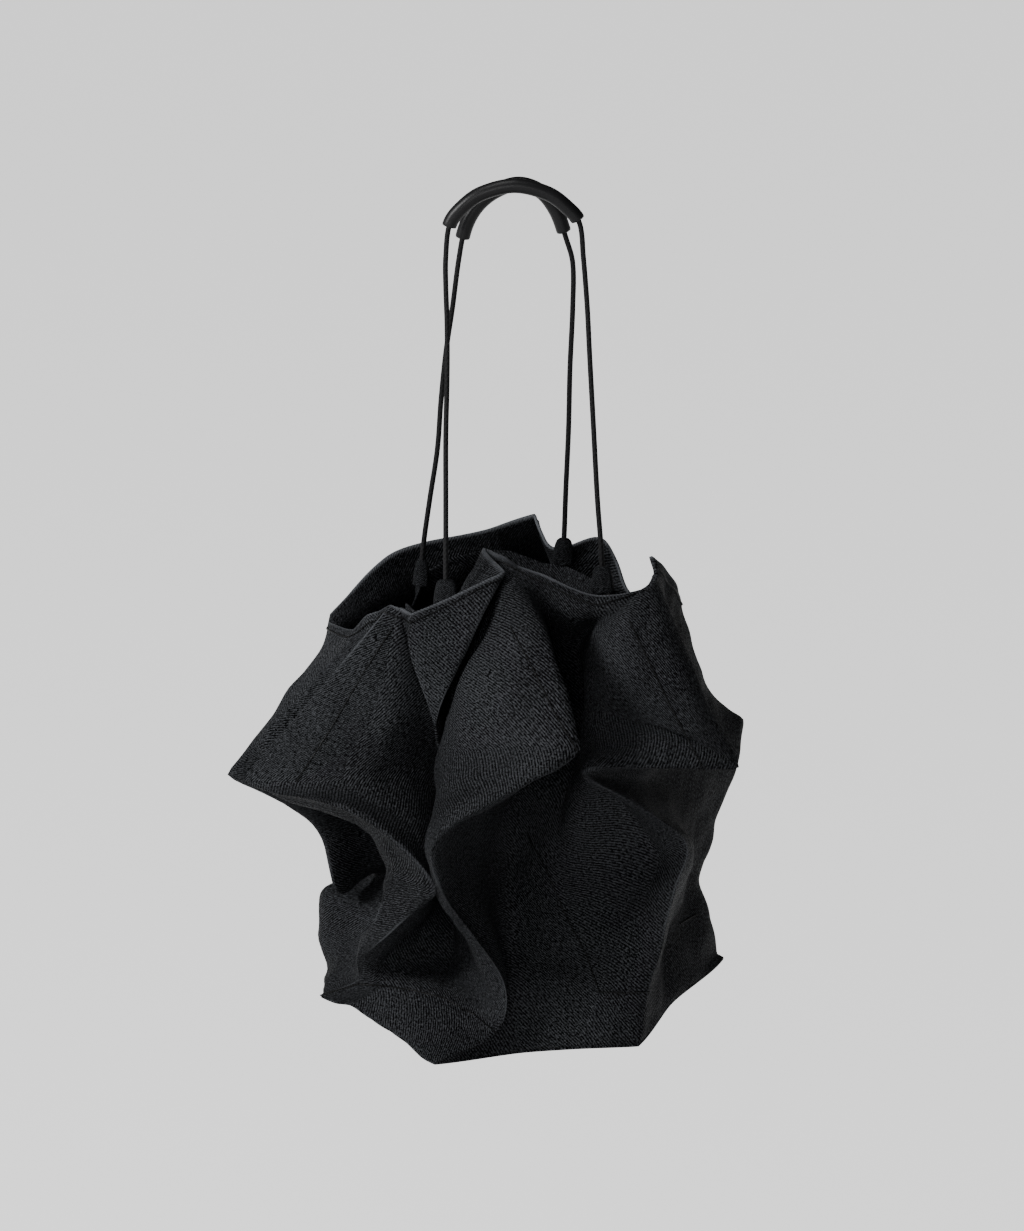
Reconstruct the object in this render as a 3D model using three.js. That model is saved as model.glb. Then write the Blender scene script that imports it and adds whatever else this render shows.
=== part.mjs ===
// A soft bag of deeply folded cloth with a ruffled mouth, a drawstring casing and two cord handles
// that run through leather grips. Millimetres, +Z up, seen from -Y. The origin is the point under
// the arch of the grips, where the bag hangs.
import * as THREE from 'three';

// Driving sizes of the cloth bag
const cloth = 1.6;
const baseRadius = 160;
const flapRadius = 200;
const mouthRadius = 120;
const bodyHeight = 340;
const clearance = 0.3;

// Driving sizes of the casing and its cord tabs
const casingWidth = 18;
const casingCloth = 1.5;
const tabLength = 20;
const tabWall = 1.2;
const tabRoom = 1.2;
const tabOverlap = 5;

// Driving sizes of the cords and grips, and where the grips hang over the middle of the base
const hangHeight = 642.5;
const hangShift = 8.6;
const cordDiameter = 4.2;
const gripLength = 122;
const gripDiameter = 11.4;
const gripWall = 3;

// The bore of a tab round its cord
const tabBore = cordDiameter / 2 + clearance;

// How finely each piece is divided
const stepsUp = 3;
const baseRings = 2;
const cordSides = 8;
const cordStep = 12.5;
const gripSides = 8;
const gripStep = 11;
const tabSides = 9;

// A panel billows out beside a crease and rounds a soft fold, both as shares of its width
const billow = 0.14;
const softness = 0.8;

// Stations up every fold line, with the radius that its reach is a share of there
const stations = {
  corner: baseRadius,
  foot: baseRadius,
  shin: baseRadius,
  knee: baseRadius,
  under: flapRadius,
  roll: flapRadius,
  hem: flapRadius,
  tip: flapRadius,
  edge: (flapRadius + mouthRadius) / 2,
  casing: mouthRadius,
  rim: mouthRadius,
};
const stationNames = Object.keys(stations);
const tipStation = stationNames.indexOf('tip');
const topStation = stationNames.length - 1;

// Fold lines in their order round the bag from the left side over the front, right and back. At each
// station a line has its turn from the front towards the right in degrees, then its reach as a share
// of the station's radius and its rise as a share of bodyHeight. A crease is sharp and turns a square
// corner at its tip, and any other line is a soft fold. Across is the count of faces to the next line.
const folds = [
  { name: 'left_valley', crease: false, across: 3,
    corner: [-105, 0.95, 0], foot: [-101, 1.02, 0.05], shin: [-95, 1.01, 0.12], knee: [-92, 0.97, 0.2],
    under: [-89, 0.58, 0.23], roll: [-85, 0.46, 0.31], hem: [-73, 0.58, 0.42], tip: [-68, 1.09, 0.62],
    edge: [-65, 1.17, 0.77], casing: [-64, 1.29, 0.87], rim: [-66, 1.2, 0.9] },
  { name: 'leaf_valley', crease: false, across: 2,
    corner: [-79, 1, 0], foot: [-70, 0.92, 0.06], shin: [-69, 0.82, 0.13], knee: [-68, 0.71, 0.2],
    under: [-66, 0.52, 0.26], roll: [-59, 0.51, 0.33], hem: [-57, 0.66, 0.45], tip: [-65, 1.07, 0.59],
    edge: [-62, 1.13, 0.76], casing: [-59, 1.22, 0.89], rim: [-61, 1.16, 0.94] },
  { name: 'left_leaf', crease: false, across: 2,
    corner: [-76, 1.01, 0], foot: [-62, 0.92, 0.06], shin: [-55, 0.99, 0.14], knee: [-47, 1.02, 0.24],
    under: [-42, 0.84, 0.34], roll: [-39, 0.85, 0.41], hem: [-47, 0.91, 0.52], tip: [-65, 1.13, 0.57],
    edge: [-59, 1.15, 0.76], casing: [-55, 1.2, 0.91], rim: [-56, 1.12, 0.96] },
  { name: 'left_flap', crease: true, across: 2,
    corner: [-74, 1.03, 0], foot: [-60, 0.93, 0.07], shin: [-52, 0.98, 0.15], knee: [-40, 1.02, 0.23],
    under: [-29, 0.85, 0.32], roll: [-22, 0.9, 0.4], hem: [-40, 0.99, 0.55], tip: [-65, 1.21, 0.58],
    edge: [-58, 1.23, 0.77], casing: [-53, 1.24, 0.93], rim: [-52, 1.08, 0.98] },
  { name: 'left_face', crease: false, across: 3,
    corner: [-68, 0.99, 0], foot: [-57, 0.9, 0.06], shin: [-53, 0.91, 0.13], knee: [-42, 0.89, 0.21],
    under: [-31, 0.73, 0.3], roll: [-26, 0.81, 0.4], hem: [-32, 0.87, 0.53], tip: [-44, 0.99, 0.62],
    edge: [-43, 1.05, 0.77], casing: [-47, 1.16, 0.91], rim: [-49, 1.08, 0.98] },
  { name: 'bib_valley', crease: false, across: 2,
    corner: [-61, 0.96, 0.01], foot: [-54, 0.87, 0.06], shin: [-55, 0.82, 0.12], knee: [-49, 0.76, 0.18],
    under: [-37, 0.6, 0.27], roll: [-31, 0.65, 0.39], hem: [-30, 0.68, 0.52], tip: [-32, 0.65, 0.62],
    edge: [-31, 0.77, 0.74], casing: [-42, 1.05, 0.88], rim: [-47, 1.08, 0.98] },
  { name: 'bib_left', crease: true, across: 3,
    corner: [-51, 0.95, 0], foot: [-46, 0.8, 0.06], shin: [-53, 0.7, 0.11], knee: [-51, 0.64, 0.18],
    under: [-42, 0.5, 0.26], roll: [-34, 0.55, 0.38], hem: [-33, 0.58, 0.5], tip: [-28, 0.67, 0.64],
    edge: [-29, 0.9, 0.75], casing: [-38, 1.19, 0.9], rim: [-40, 1.11, 0.98] },
  { name: 'bib_right', crease: true, across: 2,
    corner: [-42, 0.96, -0.01], foot: [-37, 0.76, 0.06], shin: [-48, 0.61, 0.1], knee: [-49, 0.56, 0.17],
    under: [-45, 0.43, 0.26], roll: [-39, 0.45, 0.37], hem: [-36, 0.49, 0.49], tip: [-31, 0.57, 0.63],
    edge: [-27, 0.91, 0.76], casing: [-16, 1.06, 0.96], rim: [-9, 0.69, 1.06] },
  { name: 'middle_valley', crease: false, across: 2,
    corner: [-35, 0.99, -0.02], foot: [-27, 0.76, 0.05], shin: [-40, 0.56, 0.1], knee: [-45, 0.48, 0.17],
    under: [-46, 0.34, 0.26], roll: [-42, 0.33, 0.36], hem: [-37, 0.38, 0.49], tip: [-34, 0.44, 0.61],
    edge: [-31, 0.67, 0.74], casing: [-35, 0.77, 0.96], rim: [-40, 0.38, 1.07] },
  { name: 'middle_roll', crease: false, across: 4,
    corner: [-27, 1.08, -0.03], foot: [-17, 0.8, 0.03], shin: [-20, 0.68, 0.11], knee: [-24, 0.7, 0.21],
    under: [-26, 0.62, 0.33], roll: [-25, 0.74, 0.44], hem: [-25, 0.77, 0.57], tip: [-26, 0.75, 0.67],
    edge: [-24, 0.86, 0.79], casing: [-15, 0.88, 0.95], rim: [-22, 0.43, 1.07] },
  { name: 'middle_flap', crease: true, across: 3,
    corner: [-22, 1.14, -0.03], foot: [-8, 0.95, 0.02], shin: [-5, 0.95, 0.13], knee: [-12, 1.08, 0.27],
    under: [-19, 1.01, 0.42], roll: [-18, 1.06, 0.55], hem: [-2, 1.08, 0.67], tip: [12, 1.1, 0.77],
    edge: [9, 1, 0.94], casing: [3, 0.85, 1.01], rim: [-4, 0.55, 1.06] },
  { name: 'cavity_left', crease: false, across: 3,
    corner: [-1, 0.84, -0.04], foot: [-4, 0.8, 0.09], shin: [-6, 0.7, 0.17], knee: [-8, 0.62, 0.27],
    under: [-8, 0.44, 0.37], roll: [-4, 0.41, 0.48], hem: [1, 0.43, 0.57], tip: [9, 0.43, 0.68],
    edge: [22, 0.39, 0.85], casing: [14, 0.72, 0.97], rim: [10, 0.63, 1.05] },
  { name: 'band', crease: false, across: 2,
    corner: [17, 0.88, -0.03], foot: [24, 0.9, 0.1], shin: [22, 0.82, 0.18], knee: [17, 0.77, 0.27],
    under: [14, 0.58, 0.37], roll: [15, 0.55, 0.49], hem: [22, 0.5, 0.59], tip: [31, 0.41, 0.69],
    edge: [35, 0.45, 0.86], casing: [30, 0.88, 0.96], rim: [33, 0.87, 1.01] },
  { name: 'right_roll', crease: false, across: 4,
    corner: [28, 0.93, -0.03], foot: [32, 0.96, 0.1], shin: [37, 0.97, 0.3], knee: [41, 0.99, 0.41],
    under: [30, 0.75, 0.56], roll: [18, 0.84, 0.66], hem: [21, 0.72, 0.69], tip: [24, 0.64, 0.77],
    edge: [28, 0.73, 0.92], casing: [39, 1.01, 0.99], rim: [53, 1.07, 1.03] },
  { name: 'right_flap', crease: true, across: 3,
    corner: [35, 0.98, -0.03], foot: [38, 1.01, 0.11], shin: [40, 1.14, 0.35], knee: [41, 1.21, 0.48],
    under: [26, 0.97, 0.6], roll: [13, 1.03, 0.7], hem: [30, 1.07, 0.69], tip: [47, 1.15, 0.66],
    edge: [49, 1.1, 0.87], casing: [54, 1.11, 1.01], rim: [58, 0.97, 1.08] },
  { name: 'right_valley', crease: false, across: 3,
    corner: [63, 0.82, 0], foot: [71, 0.75, 0.15], shin: [74, 0.8, 0.23], knee: [76, 0.83, 0.32],
    under: [76, 0.67, 0.42], roll: [75, 0.67, 0.51], hem: [74, 0.67, 0.6], tip: [73, 0.66, 0.67],
    edge: [74, 0.77, 0.8], casing: [73, 0.97, 0.94], rim: [74, 0.98, 1.01] },
  { name: 'far_right_flap', crease: true, across: 3,
    corner: [105, 1.03, 0], foot: [105, 0.96, 0.09], shin: [104, 0.89, 0.18], knee: [104, 0.9, 0.24],
    under: [105, 0.78, 0.32], roll: [107, 0.85, 0.4], hem: [111, 0.92, 0.47], tip: [116, 0.98, 0.54],
    edge: [110, 0.98, 0.65], casing: [101, 1.11, 0.81], rim: [95, 1.03, 0.91] },
  { name: 'back_right_valley', crease: false, across: 3,
    corner: [128, 0.86, 0], foot: [128, 0.8, 0.08], knee: [128, 0.7, 0.25], roll: [128, 0.5, 0.44],
    tip: [125, 0.5, 0.63], edge: [119, 0.58, 0.74], casing: [112, 0.72, 0.83], rim: [109, 0.76, 0.9] },
  { name: 'back_right_lobe', crease: false, across: 2,
    corner: [139, 0.9, 0], foot: [140, 0.86, 0.08], knee: [141, 0.78, 0.25], roll: [141, 0.62, 0.44],
    tip: [138, 0.62, 0.67], edge: [137, 0.66, 0.8], casing: [137, 0.74, 0.92], rim: [138, 0.78, 1] },
  { name: 'mouth_tuck', crease: false, across: 3,
    corner: [147, 0.94, 0], foot: [150, 0.9, 0.08], knee: [154, 0.83, 0.25], roll: [156, 0.64, 0.44],
    tip: [156, 0.6, 0.68], edge: [156, 0.6, 0.82], casing: [156, 0.58, 0.93], rim: [156, 0.5, 0.99] },
  { name: 'back_flap', crease: true, across: 3,
    corner: [155, 1, 0], foot: [160, 0.96, 0.08], shin: [167, 1, 0.18], knee: [172, 1.08, 0.28],
    under: [177, 0.93, 0.37], roll: [179, 1.01, 0.45], hem: [170, 1.08, 0.53], tip: [160, 1.17, 0.6],
    edge: [164, 1.06, 0.76], casing: [170, 0.94, 0.95], rim: [174, 0.76, 1.04] },
  { name: 'back_valley', crease: false, across: 3,
    corner: [185, 0.86, 0], foot: [186, 0.8, 0.08], knee: [190, 0.68, 0.26], roll: [194, 0.5, 0.46],
    tip: [198, 0.5, 0.67], edge: [200, 0.56, 0.8], casing: [200, 0.68, 0.92], rim: [200, 0.71, 1.01] },
  { name: 'back_left_lobe', crease: false, across: 3,
    corner: [201, 0.9, 0], foot: [206, 0.84, 0.08], knee: [220, 0.7, 0.26], roll: [232, 0.56, 0.46],
    tip: [238, 0.64, 0.67], edge: [240, 0.74, 0.8], casing: [243, 0.82, 0.9], rim: [248, 0.92, 0.99] },
  { name: 'far_left_flap', crease: true, across: 3,
    corner: [-145, 0.98, 0.01], foot: [-140, 0.94, 0.05], shin: [-132, 0.87, 0.12],
    knee: [-118, 0.79, 0.19], under: [-102, 0.6, 0.25], roll: [-77, 0.75, 0.23], hem: [-76, 0.85, 0.41],
    tip: [-75, 1.21, 0.55], edge: [-72, 1.21, 0.74], casing: [-79, 1.36, 0.82], rim: [-88, 1.27, 0.87] },
];

// The upper edge of the casing round the mouth, in straight stretches between places and tabs. A place
// has a turn, reach and rise as the fold lines have at the casing
const casingPath = [
  { at: [-45, 0.99, 0.97] },
  { tab: 'front_left' },
  { at: [-38, 0.759, 0.97] },
  { at: [-40, 0.668, 0.99] },
  { at: [-31, 0.58, 1] },
  { at: [16, 0.623, 1] },
  { at: [30, 0.635, 0.98] },
  { tab: 'front_right' },
  { at: [73, 0.583, 0.97] },
  { at: [108, 0.474, 0.95] },
  { tab: 'back_right' },
  { at: [164, 0.493, 0.95] },
  { at: [-173, 0.562, 0.97] },
  { at: [-157, 0.645, 0.97] },
  { at: [-135, 0.684, 0.96] },
  { at: [-117, 0.783, 0.93] },
  { tab: 'back_left' },
  { at: [-71, 0.759, 0.93] },
  { at: [-54, 0.93, 0.97] },
];

// Routes of the two cords from the origin, chosen by hand: out of the left tab, through the grip and
// down to the right tab
const frontCordRoute = [
  [-51, -88, -303], [-51, -79, -273], [-51, -64, -228], [-51, -50, -184], [-50, -36, -139], [-50, -26, -101],
  [-51, -18, -71], [-51, -12, -50], [-48, -8, -25], [-38, -8, -11], [-23, -8, 0], [2, -8, 6],
  [27, -8, 0], [42, -8, -11], [52, -8, -24], [55, -9, -51], [58, -13, -89], [60, -20, -128],
  [63, -30, -182], [66, -40, -236], [69, -47, -275], [70, -50, -304],
];
const backCordRoute = [
  [-71, 12, -318], [-69, 13, -290], [-64, 13, -253], [-58, 12, -212], [-55, 11, -171], [-51, 9, -131],
  [-46, 8, -96], [-41, 8, -57], [-36, 8, -32], [-27, 8, -15], [-13, 8, -3], [5, 8, 3],
  [22, 8, -3], [34, 9, -19], [42, 10, -42], [47, 11, -62], [47, 14, -98], [45, 20, -149],
  [44, 28, -201], [42, 36, -253], [41, 42, -287], [40, 45, -311],
];

const materials = {
  cloth: { color: 0x17171a, roughness: 0.85, metalness: 0 },
  leather: { color: 0x0c0c0d, roughness: 0.45, metalness: 0 },
  braid: { color: 0x121214, roughness: 0.8, metalness: 0 },
};

const bag = new THREE.Group();

function named(name, geometry, finish) {
  const mesh = new THREE.Mesh(geometry, new THREE.MeshStandardMaterial(materials[finish]));
  mesh.name = name;
  return mesh;
}

function geometryOf(points, triangles) {
  const geometry = new THREE.BufferGeometry();
  const places = points.flatMap((point) => point.toArray());
  geometry.setAttribute('position', new THREE.Float32BufferAttribute(places, 3));
  geometry.setIndex(triangles.flat());
  return geometry;
}

// Both triangles of a four-sided face
function quad(a, b, c, d) {
  return [[a, b, c], [a, c, d]];
}

function stationPoint([turn, reach, rise], name) {
  const angle = THREE.MathUtils.degToRad(turn);
  const radius = reach * stations[name];
  return new THREE.Vector3(radius * Math.sin(angle), -radius * Math.cos(angle), rise * bodyHeight);
}

// A smooth curve through points that lie at uneven stations
function smoothThrough(knots, station) {
  let index = 0;
  while (index < knots.length - 2 && knots[index + 1].station <= station) index += 1;
  const [low, high] = [knots[index], knots[index + 1]];
  const span = high.station - low.station;
  const slope = (before, after) => after.point.clone().sub(before.point)
    .multiplyScalar(span / (after.station - before.station));
  const leave = slope(knots[Math.max(index - 1, 0)], high);
  const arrive = slope(low, knots[Math.min(index + 2, knots.length - 1)]);
  return hermite(low.point, leave, high.point, arrive, (station - low.station) / span);
}

function hermite(start, leave, end, arrive, share) {
  const [one, two, three] = [share, share ** 2, share ** 3];
  return new THREE.Vector3()
    .addScaledVector(start, 2 * three - 3 * two + 1)
    .addScaledVector(leave, three - 2 * two + one)
    .addScaledVector(end, 3 * two - 2 * three)
    .addScaledVector(arrive, three - two);
}

// All rows of one fold line from the corner of the base to the rim
function foldLine(fold) {
  const knots = stationNames.flatMap((name, station) => (
    fold[name] ? [{ station, point: stationPoint(fold[name], name) }] : []
  ));
  const below = knots.filter((knot) => knot.station <= tipStation);
  const above = knots.filter((knot) => knot.station >= tipStation);
  const rows = [];
  for (let step = 0; step <= topStation * stepsUp; step += 1) {
    const station = step / stepsUp;
    const part = station <= tipStation ? below : above;
    rows.push(smoothThrough(fold.crease ? part : knots, station));
  }
  return rows;
}

// The ring of points at one row: a panel billows beside a crease and runs smoothly over a soft fold
function ringOf(lines, row) {
  const count = lines.length;
  const ring = [];
  for (let index = 0; index < count; index += 1) {
    const before = lines[(index + count - 1) % count][row];
    const here = lines[index][row];
    const next = lines[(index + 1) % count][row];
    const after = lines[(index + 2) % count][row];
    const chord = next.clone().sub(here);
    const width = chord.length();
    const outward = new THREE.Vector3(here.x + next.x, here.y + next.y, 0).normalize();
    const leave = folds[index].crease
      ? chord.clone().addScaledVector(outward, billow * width)
      : next.clone().sub(before).setLength(width * softness);
    const arrive = folds[(index + 1) % count].crease
      ? chord.clone().addScaledVector(outward, -billow * width)
      : after.clone().sub(here).setLength(width * softness);
    for (let step = 0; step < folds[index].across; step += 1) {
      ring.push(hermite(here, leave, next, arrive, step / folds[index].across));
    }
  }
  return ring;
}

// Triangles between rings that lie one above another, facing away from the middle
function sheetTriangles(rings, columns) {
  const triangles = [];
  for (let row = 0; row < rings - 1; row += 1) {
    for (let column = 0; column < columns; column += 1) {
      const next = (column + 1) % columns;
      const [low, high] = [row * columns, (row + 1) * columns];
      triangles.push(...quad(low + column, low + next, high + next, high + column));
    }
  }
  return triangles;
}

function faceNormals(points, triangles) {
  return triangles.map(([a, b, c]) => (
    new THREE.Triangle(points[a], points[b], points[c]).getNormal(new THREE.Vector3())
  ));
}

// Each vertex's normal counts its faces by their angle there, so a crease gets its bisector
function vertexNormals(points, triangles, faces) {
  const normals = points.map(() => new THREE.Vector3());
  triangles.forEach((triangle, face) => {
    triangle.forEach((corner, turn) => {
      const towards = [1, 2].map((step) => points[triangle[(turn + step) % 3]].clone().sub(points[corner]));
      normals[corner].addScaledVector(faces[face], towards[0].angleTo(towards[1]));
    });
  });
  return normals.map((normal) => normal.normalize());
}

// The inner face of the cloth: a wall inside the outer face, and thinner where a fold closes up, so
// that it stays short of any layer that faces the other way
function innerPoints(points, triangles) {
  const faces = faceNormals(points, triangles);
  const normals = vertexNormals(points, triangles, faces);
  const reach = 3 * cloth;
  const layers = triangles.map(([a, b, c]) => new THREE.Triangle(points[a], points[b], points[c]));
  const boxes = triangles.map((triangle) => (
    new THREE.Box3().setFromPoints(triangle.map((corner) => points[corner])).expandByScalar(reach)
  ));
  const closest = new THREE.Vector3();
  return points.map((point, index) => {
    let clear = reach;
    triangles.forEach((triangle, face) => {
      if (!boxes[face].containsPoint(point) || triangle.includes(index)) return;
      if (faces[face].dot(normals[index]) > 0) return;
      layers[face].closestPointToPoint(point, closest);
      const towards = closest.clone().sub(point);
      if (towards.dot(normals[index]) < 0) clear = Math.min(clear, towards.length());
    });
    return point.clone().addScaledVector(normals[index], -Math.min(cloth, clear / 3));
  });
}

const foldLines = folds.map(foldLine);
const rowCount = topStation * stepsUp + 1;
const outerRings = Array.from({ length: rowCount }, (_, row) => ringOf(foldLines, row));
const columnCount = outerRings[0].length;
const outerPoints = outerRings.flat();
const outerTriangles = sheetTriangles(rowCount, columnCount);
const wallPoints = innerPoints(outerPoints, outerTriangles);

function bagBody() {
  const offset = outerPoints.length;
  const inner = outerTriangles.map(([a, b, c]) => [offset + a, offset + c, offset + b]);
  const hems = [];
  const top = (rowCount - 1) * columnCount;
  for (let column = 0; column < columnCount; column += 1) {
    const next = (column + 1) % columnCount;
    hems.push(...quad(column, offset + column, offset + next, next));
    hems.push(...quad(top + column, top + next, offset + top + next, offset + top + column));
  }
  return named('bag_body', geometryOf([...outerPoints, ...wallPoints], [...outerTriangles, ...inner, ...hems]), 'cloth');
}

// The base panel lies under the hem of the body and follows it
function basePanel() {
  const points = [];
  for (const lift of [-clearance - cloth, -clearance]) {
    for (let ring = baseRings; ring > 0; ring -= 1) {
      for (let column = 0; column < columnCount; column += 1) {
        const hem = Math.min(outerPoints[column].z, wallPoints[column].z);
        const point = outerPoints[column].clone().setZ(hem).multiplyScalar(ring / baseRings);
        point.z += lift;
        points.push(point);
      }
    }
    points.push(new THREE.Vector3(0, 0, lift));
  }
  const layer = baseRings * columnCount + 1;
  const triangles = [];
  for (const [start, up] of [[0, false], [layer, true]]) {
    const faces = sheetTriangles(baseRings, columnCount).map((face) => face.map((corner) => start + corner));
    const last = start + (baseRings - 1) * columnCount;
    for (let column = 0; column < columnCount; column += 1) {
      faces.push([last + column, last + (column + 1) % columnCount, start + layer - 1]);
    }
    triangles.push(...faces.map(([a, b, c]) => (up ? [a, b, c] : [a, c, b])));
  }
  for (let column = 0; column < columnCount; column += 1) {
    const next = (column + 1) % columnCount;
    triangles.push(...quad(column, next, layer + next, layer + column));
  }
  return named('base_panel', geometryOf(points, triangles), 'cloth');
}

function routeCurve(route) {
  return new THREE.CatmullRomCurve3(route.map((place) => new THREE.Vector3(...place)), false, 'centripetal');
}

function roundShape(radius, sides) {
  return new THREE.Shape(Array.from({ length: sides }, (_, side) => {
    const angle = (2 * Math.PI * side) / sides;
    return new THREE.Vector2(radius * Math.cos(angle), radius * Math.sin(angle));
  }));
}

function cord(name, curve) {
  const steps = Math.round(curve.getLength() / cordStep);
  const shape = roundShape(cordDiameter / 2, cordSides);
  return named(name, new THREE.ExtrudeGeometry(shape, { steps, extrudePath: curve }), 'braid');
}

// The stretch of a curve around its middle
function middleStretch(curve, length) {
  const whole = curve.getLength();
  const places = [];
  const count = Math.ceil(length / gripStep);
  for (let step = 0; step <= count; step += 1) {
    places.push(curve.getPointAt(0.5 + (step / count - 0.5) * (length / whole)));
  }
  return new THREE.CatmullRomCurve3(places, false, 'centripetal');
}

// A grip is a leather tube that the cord runs through
function grip(name, curve) {
  const stretch = middleStretch(curve, gripLength);
  const shape = roundShape(gripDiameter / 2, gripSides);
  shape.holes.push(roundShape(gripDiameter / 2 - gripWall, gripSides));
  const steps = Math.ceil(gripLength / gripStep);
  return named(name, new THREE.ExtrudeGeometry(shape, { steps, extrudePath: stretch }), 'leather');
}

const frontCurve = routeCurve(frontCordRoute);
const backCurve = routeCurve(backCordRoute);

// Where each tab stands: the end of its cord, and the way that the cord leaves it
const tabEnds = {
  front_left: [frontCurve, 0, 0.03],
  front_right: [frontCurve, 1, 0.97],
  back_left: [backCurve, 0, 0.03],
  back_right: [backCurve, 1, 0.97],
};

function tabAxis(name) {
  const [curve, end, further] = tabEnds[name];
  const start = curve.getPointAt(end);
  return { start, along: curve.getPointAt(further).sub(start).normalize() };
}

// The middle of a tab's foot, in the frame of the bag
function tabFoot(name) {
  const { start, along } = tabAxis(name);
  return start.addScaledVector(along, -tabOverlap).sub(bag.position);
}

// A tab is a short cloth sleeve round the end of a cord, wider where it stands on the casing
function tab(name) {
  const foot = tabBore + tabRoom;
  const profile = [
    [foot, 0], [foot + tabWall, 0], [foot + tabWall, tabLength / 2], [tabBore + tabWall, tabLength],
    [tabBore, tabLength], [foot, tabLength / 2], [foot, 0],
  ].map(([radius, height]) => new THREE.Vector2(radius, height));
  const mesh = named(`${name}_tab`, new THREE.LatheGeometry(profile, tabSides), 'cloth');
  mesh.quaternion.setFromUnitVectors(new THREE.Vector3(0, 1, 0), tabAxis(name).along);
  mesh.position.copy(tabFoot(name));
  return mesh;
}

// The upper edge of the casing at one stop, just under the lowest part of a tab's foot or at a place
function casingEdge(stop) {
  if (stop.at) return stationPoint(stop.at, 'casing');
  const top = tabFoot(stop.tab);
  const { along } = tabAxis(stop.tab);
  const dip = (tabBore + tabRoom + tabWall) * Math.hypot(along.x, along.y);
  return top.setZ(top.z - dip - clearance);
}

// The casing is an upright band inside the mouth that carries the tabs
function casingBand() {
  const edge = casingPath.map(casingEdge);
  const count = edge.length;
  const points = edge.flatMap((top, index) => {
    const along = edge[(index + 1) % count].clone().sub(edge[(index + count - 1) % count]);
    const outward = new THREE.Vector3(along.y, -along.x, 0).setLength(casingCloth / 2);
    const [outside, inside] = [top.clone().add(outward), top.clone().sub(outward)];
    const lower = (place) => place.clone().setZ(place.z - casingWidth);
    return [lower(outside), outside, inside, lower(inside)];
  });
  const triangles = edge.flatMap((top, index) => {
    const [here, next] = [index * 4, ((index + 1) % count) * 4];
    return [[0, 1], [1, 2], [2, 3], [3, 0]].flatMap(([side, turn]) => (
      quad(here + side, next + side, next + turn, here + turn)
    ));
  });
  return named('drawstring_casing', geometryOf(points, triangles), 'cloth');
}

bag.position.set(hangShift, 0, -hangHeight);
bag.add(bagBody(), basePanel(), casingBand(), ...Object.keys(tabEnds).map(tab));

const group = new THREE.Group();
group.add(bag, cord('front_cord', frontCurve), cord('back_cord', backCurve));
group.add(grip('front_grip', frontCurve), grip('back_grip', backCurve));

export default group;
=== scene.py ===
"""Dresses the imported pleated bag: folded twill cloth, casing, tabs, braided cords and leather grips."""
import math

import bpy
import numpy as np
from bpy.props import FloatProperty, FloatVectorProperty
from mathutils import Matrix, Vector, noise
from mathutils.bvhtree import BVHTree


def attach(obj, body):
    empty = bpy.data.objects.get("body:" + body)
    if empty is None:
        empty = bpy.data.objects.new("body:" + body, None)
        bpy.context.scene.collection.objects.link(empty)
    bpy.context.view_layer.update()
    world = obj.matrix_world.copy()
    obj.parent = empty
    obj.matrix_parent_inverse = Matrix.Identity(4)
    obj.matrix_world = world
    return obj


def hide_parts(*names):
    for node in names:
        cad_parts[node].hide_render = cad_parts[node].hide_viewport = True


bl_info = {
    "name": "Pleated bag",
    "version": (1, 0, 0),
    "blender": (4, 5, 0),
    "location": "3D View > Sidebar > Bag",
    "description": "Builds a folded cloth bag with cord handles around its packed frame",
    "category": "Object",
}

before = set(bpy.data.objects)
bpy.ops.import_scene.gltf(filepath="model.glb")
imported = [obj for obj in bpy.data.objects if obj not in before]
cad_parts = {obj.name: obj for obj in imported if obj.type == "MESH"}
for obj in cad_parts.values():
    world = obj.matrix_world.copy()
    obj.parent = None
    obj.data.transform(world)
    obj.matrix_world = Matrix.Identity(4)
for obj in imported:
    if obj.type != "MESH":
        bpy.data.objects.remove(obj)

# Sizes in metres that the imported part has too
BASE_RADIUS, FLAP_RADIUS, MOUTH_RADIUS, BODY_HEIGHT = 0.160, 0.200, 0.120, 0.340
HANG = Vector((0.0086, 0.0, -0.6425))
CASING_WIDTH, CASING_CLOTH, CASING_GAP = 0.018, 0.0015, 0.0003
TAB_OVERLAP, TAB_FOOT, TAB_HEIGHT, TAB_DEPTH, TAB_TAPER = 0.005, 0.0048, 0.021, 0.0042, 0.0011
TAB_HALVES = {"front_left": 0.0095, "back_left": 0.0062, "front_right": 0.0088, "back_right": 0.0082}

# Shares of a panel's width by which it billows at a crease and runs on smoothly at any other fold line
BILLOW, SOFTNESS = 0.14, 0.8

# Rows from one station to the next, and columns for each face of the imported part
ROWS, COLUMNS = 10, 5

# Steps in metres along the cords, the grips and the casing
CORD_STEP, GRIP_STEP, CASING_STEP = 0.002, 0.001, 0.004

# Stations up every fold line, with the radius that its reach is a share of there
STATIONS = dict(
    corner=BASE_RADIUS, foot=BASE_RADIUS, shin=BASE_RADIUS, knee=BASE_RADIUS, under=FLAP_RADIUS,
    roll=FLAP_RADIUS, hem=FLAP_RADIUS, tip=FLAP_RADIUS, edge=(FLAP_RADIUS + MOUTH_RADIUS) / 2,
    casing=MOUTH_RADIUS, rim=MOUTH_RADIUS,
)
NAMES = list(STATIONS)
TIP = NAMES.index("tip")

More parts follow.
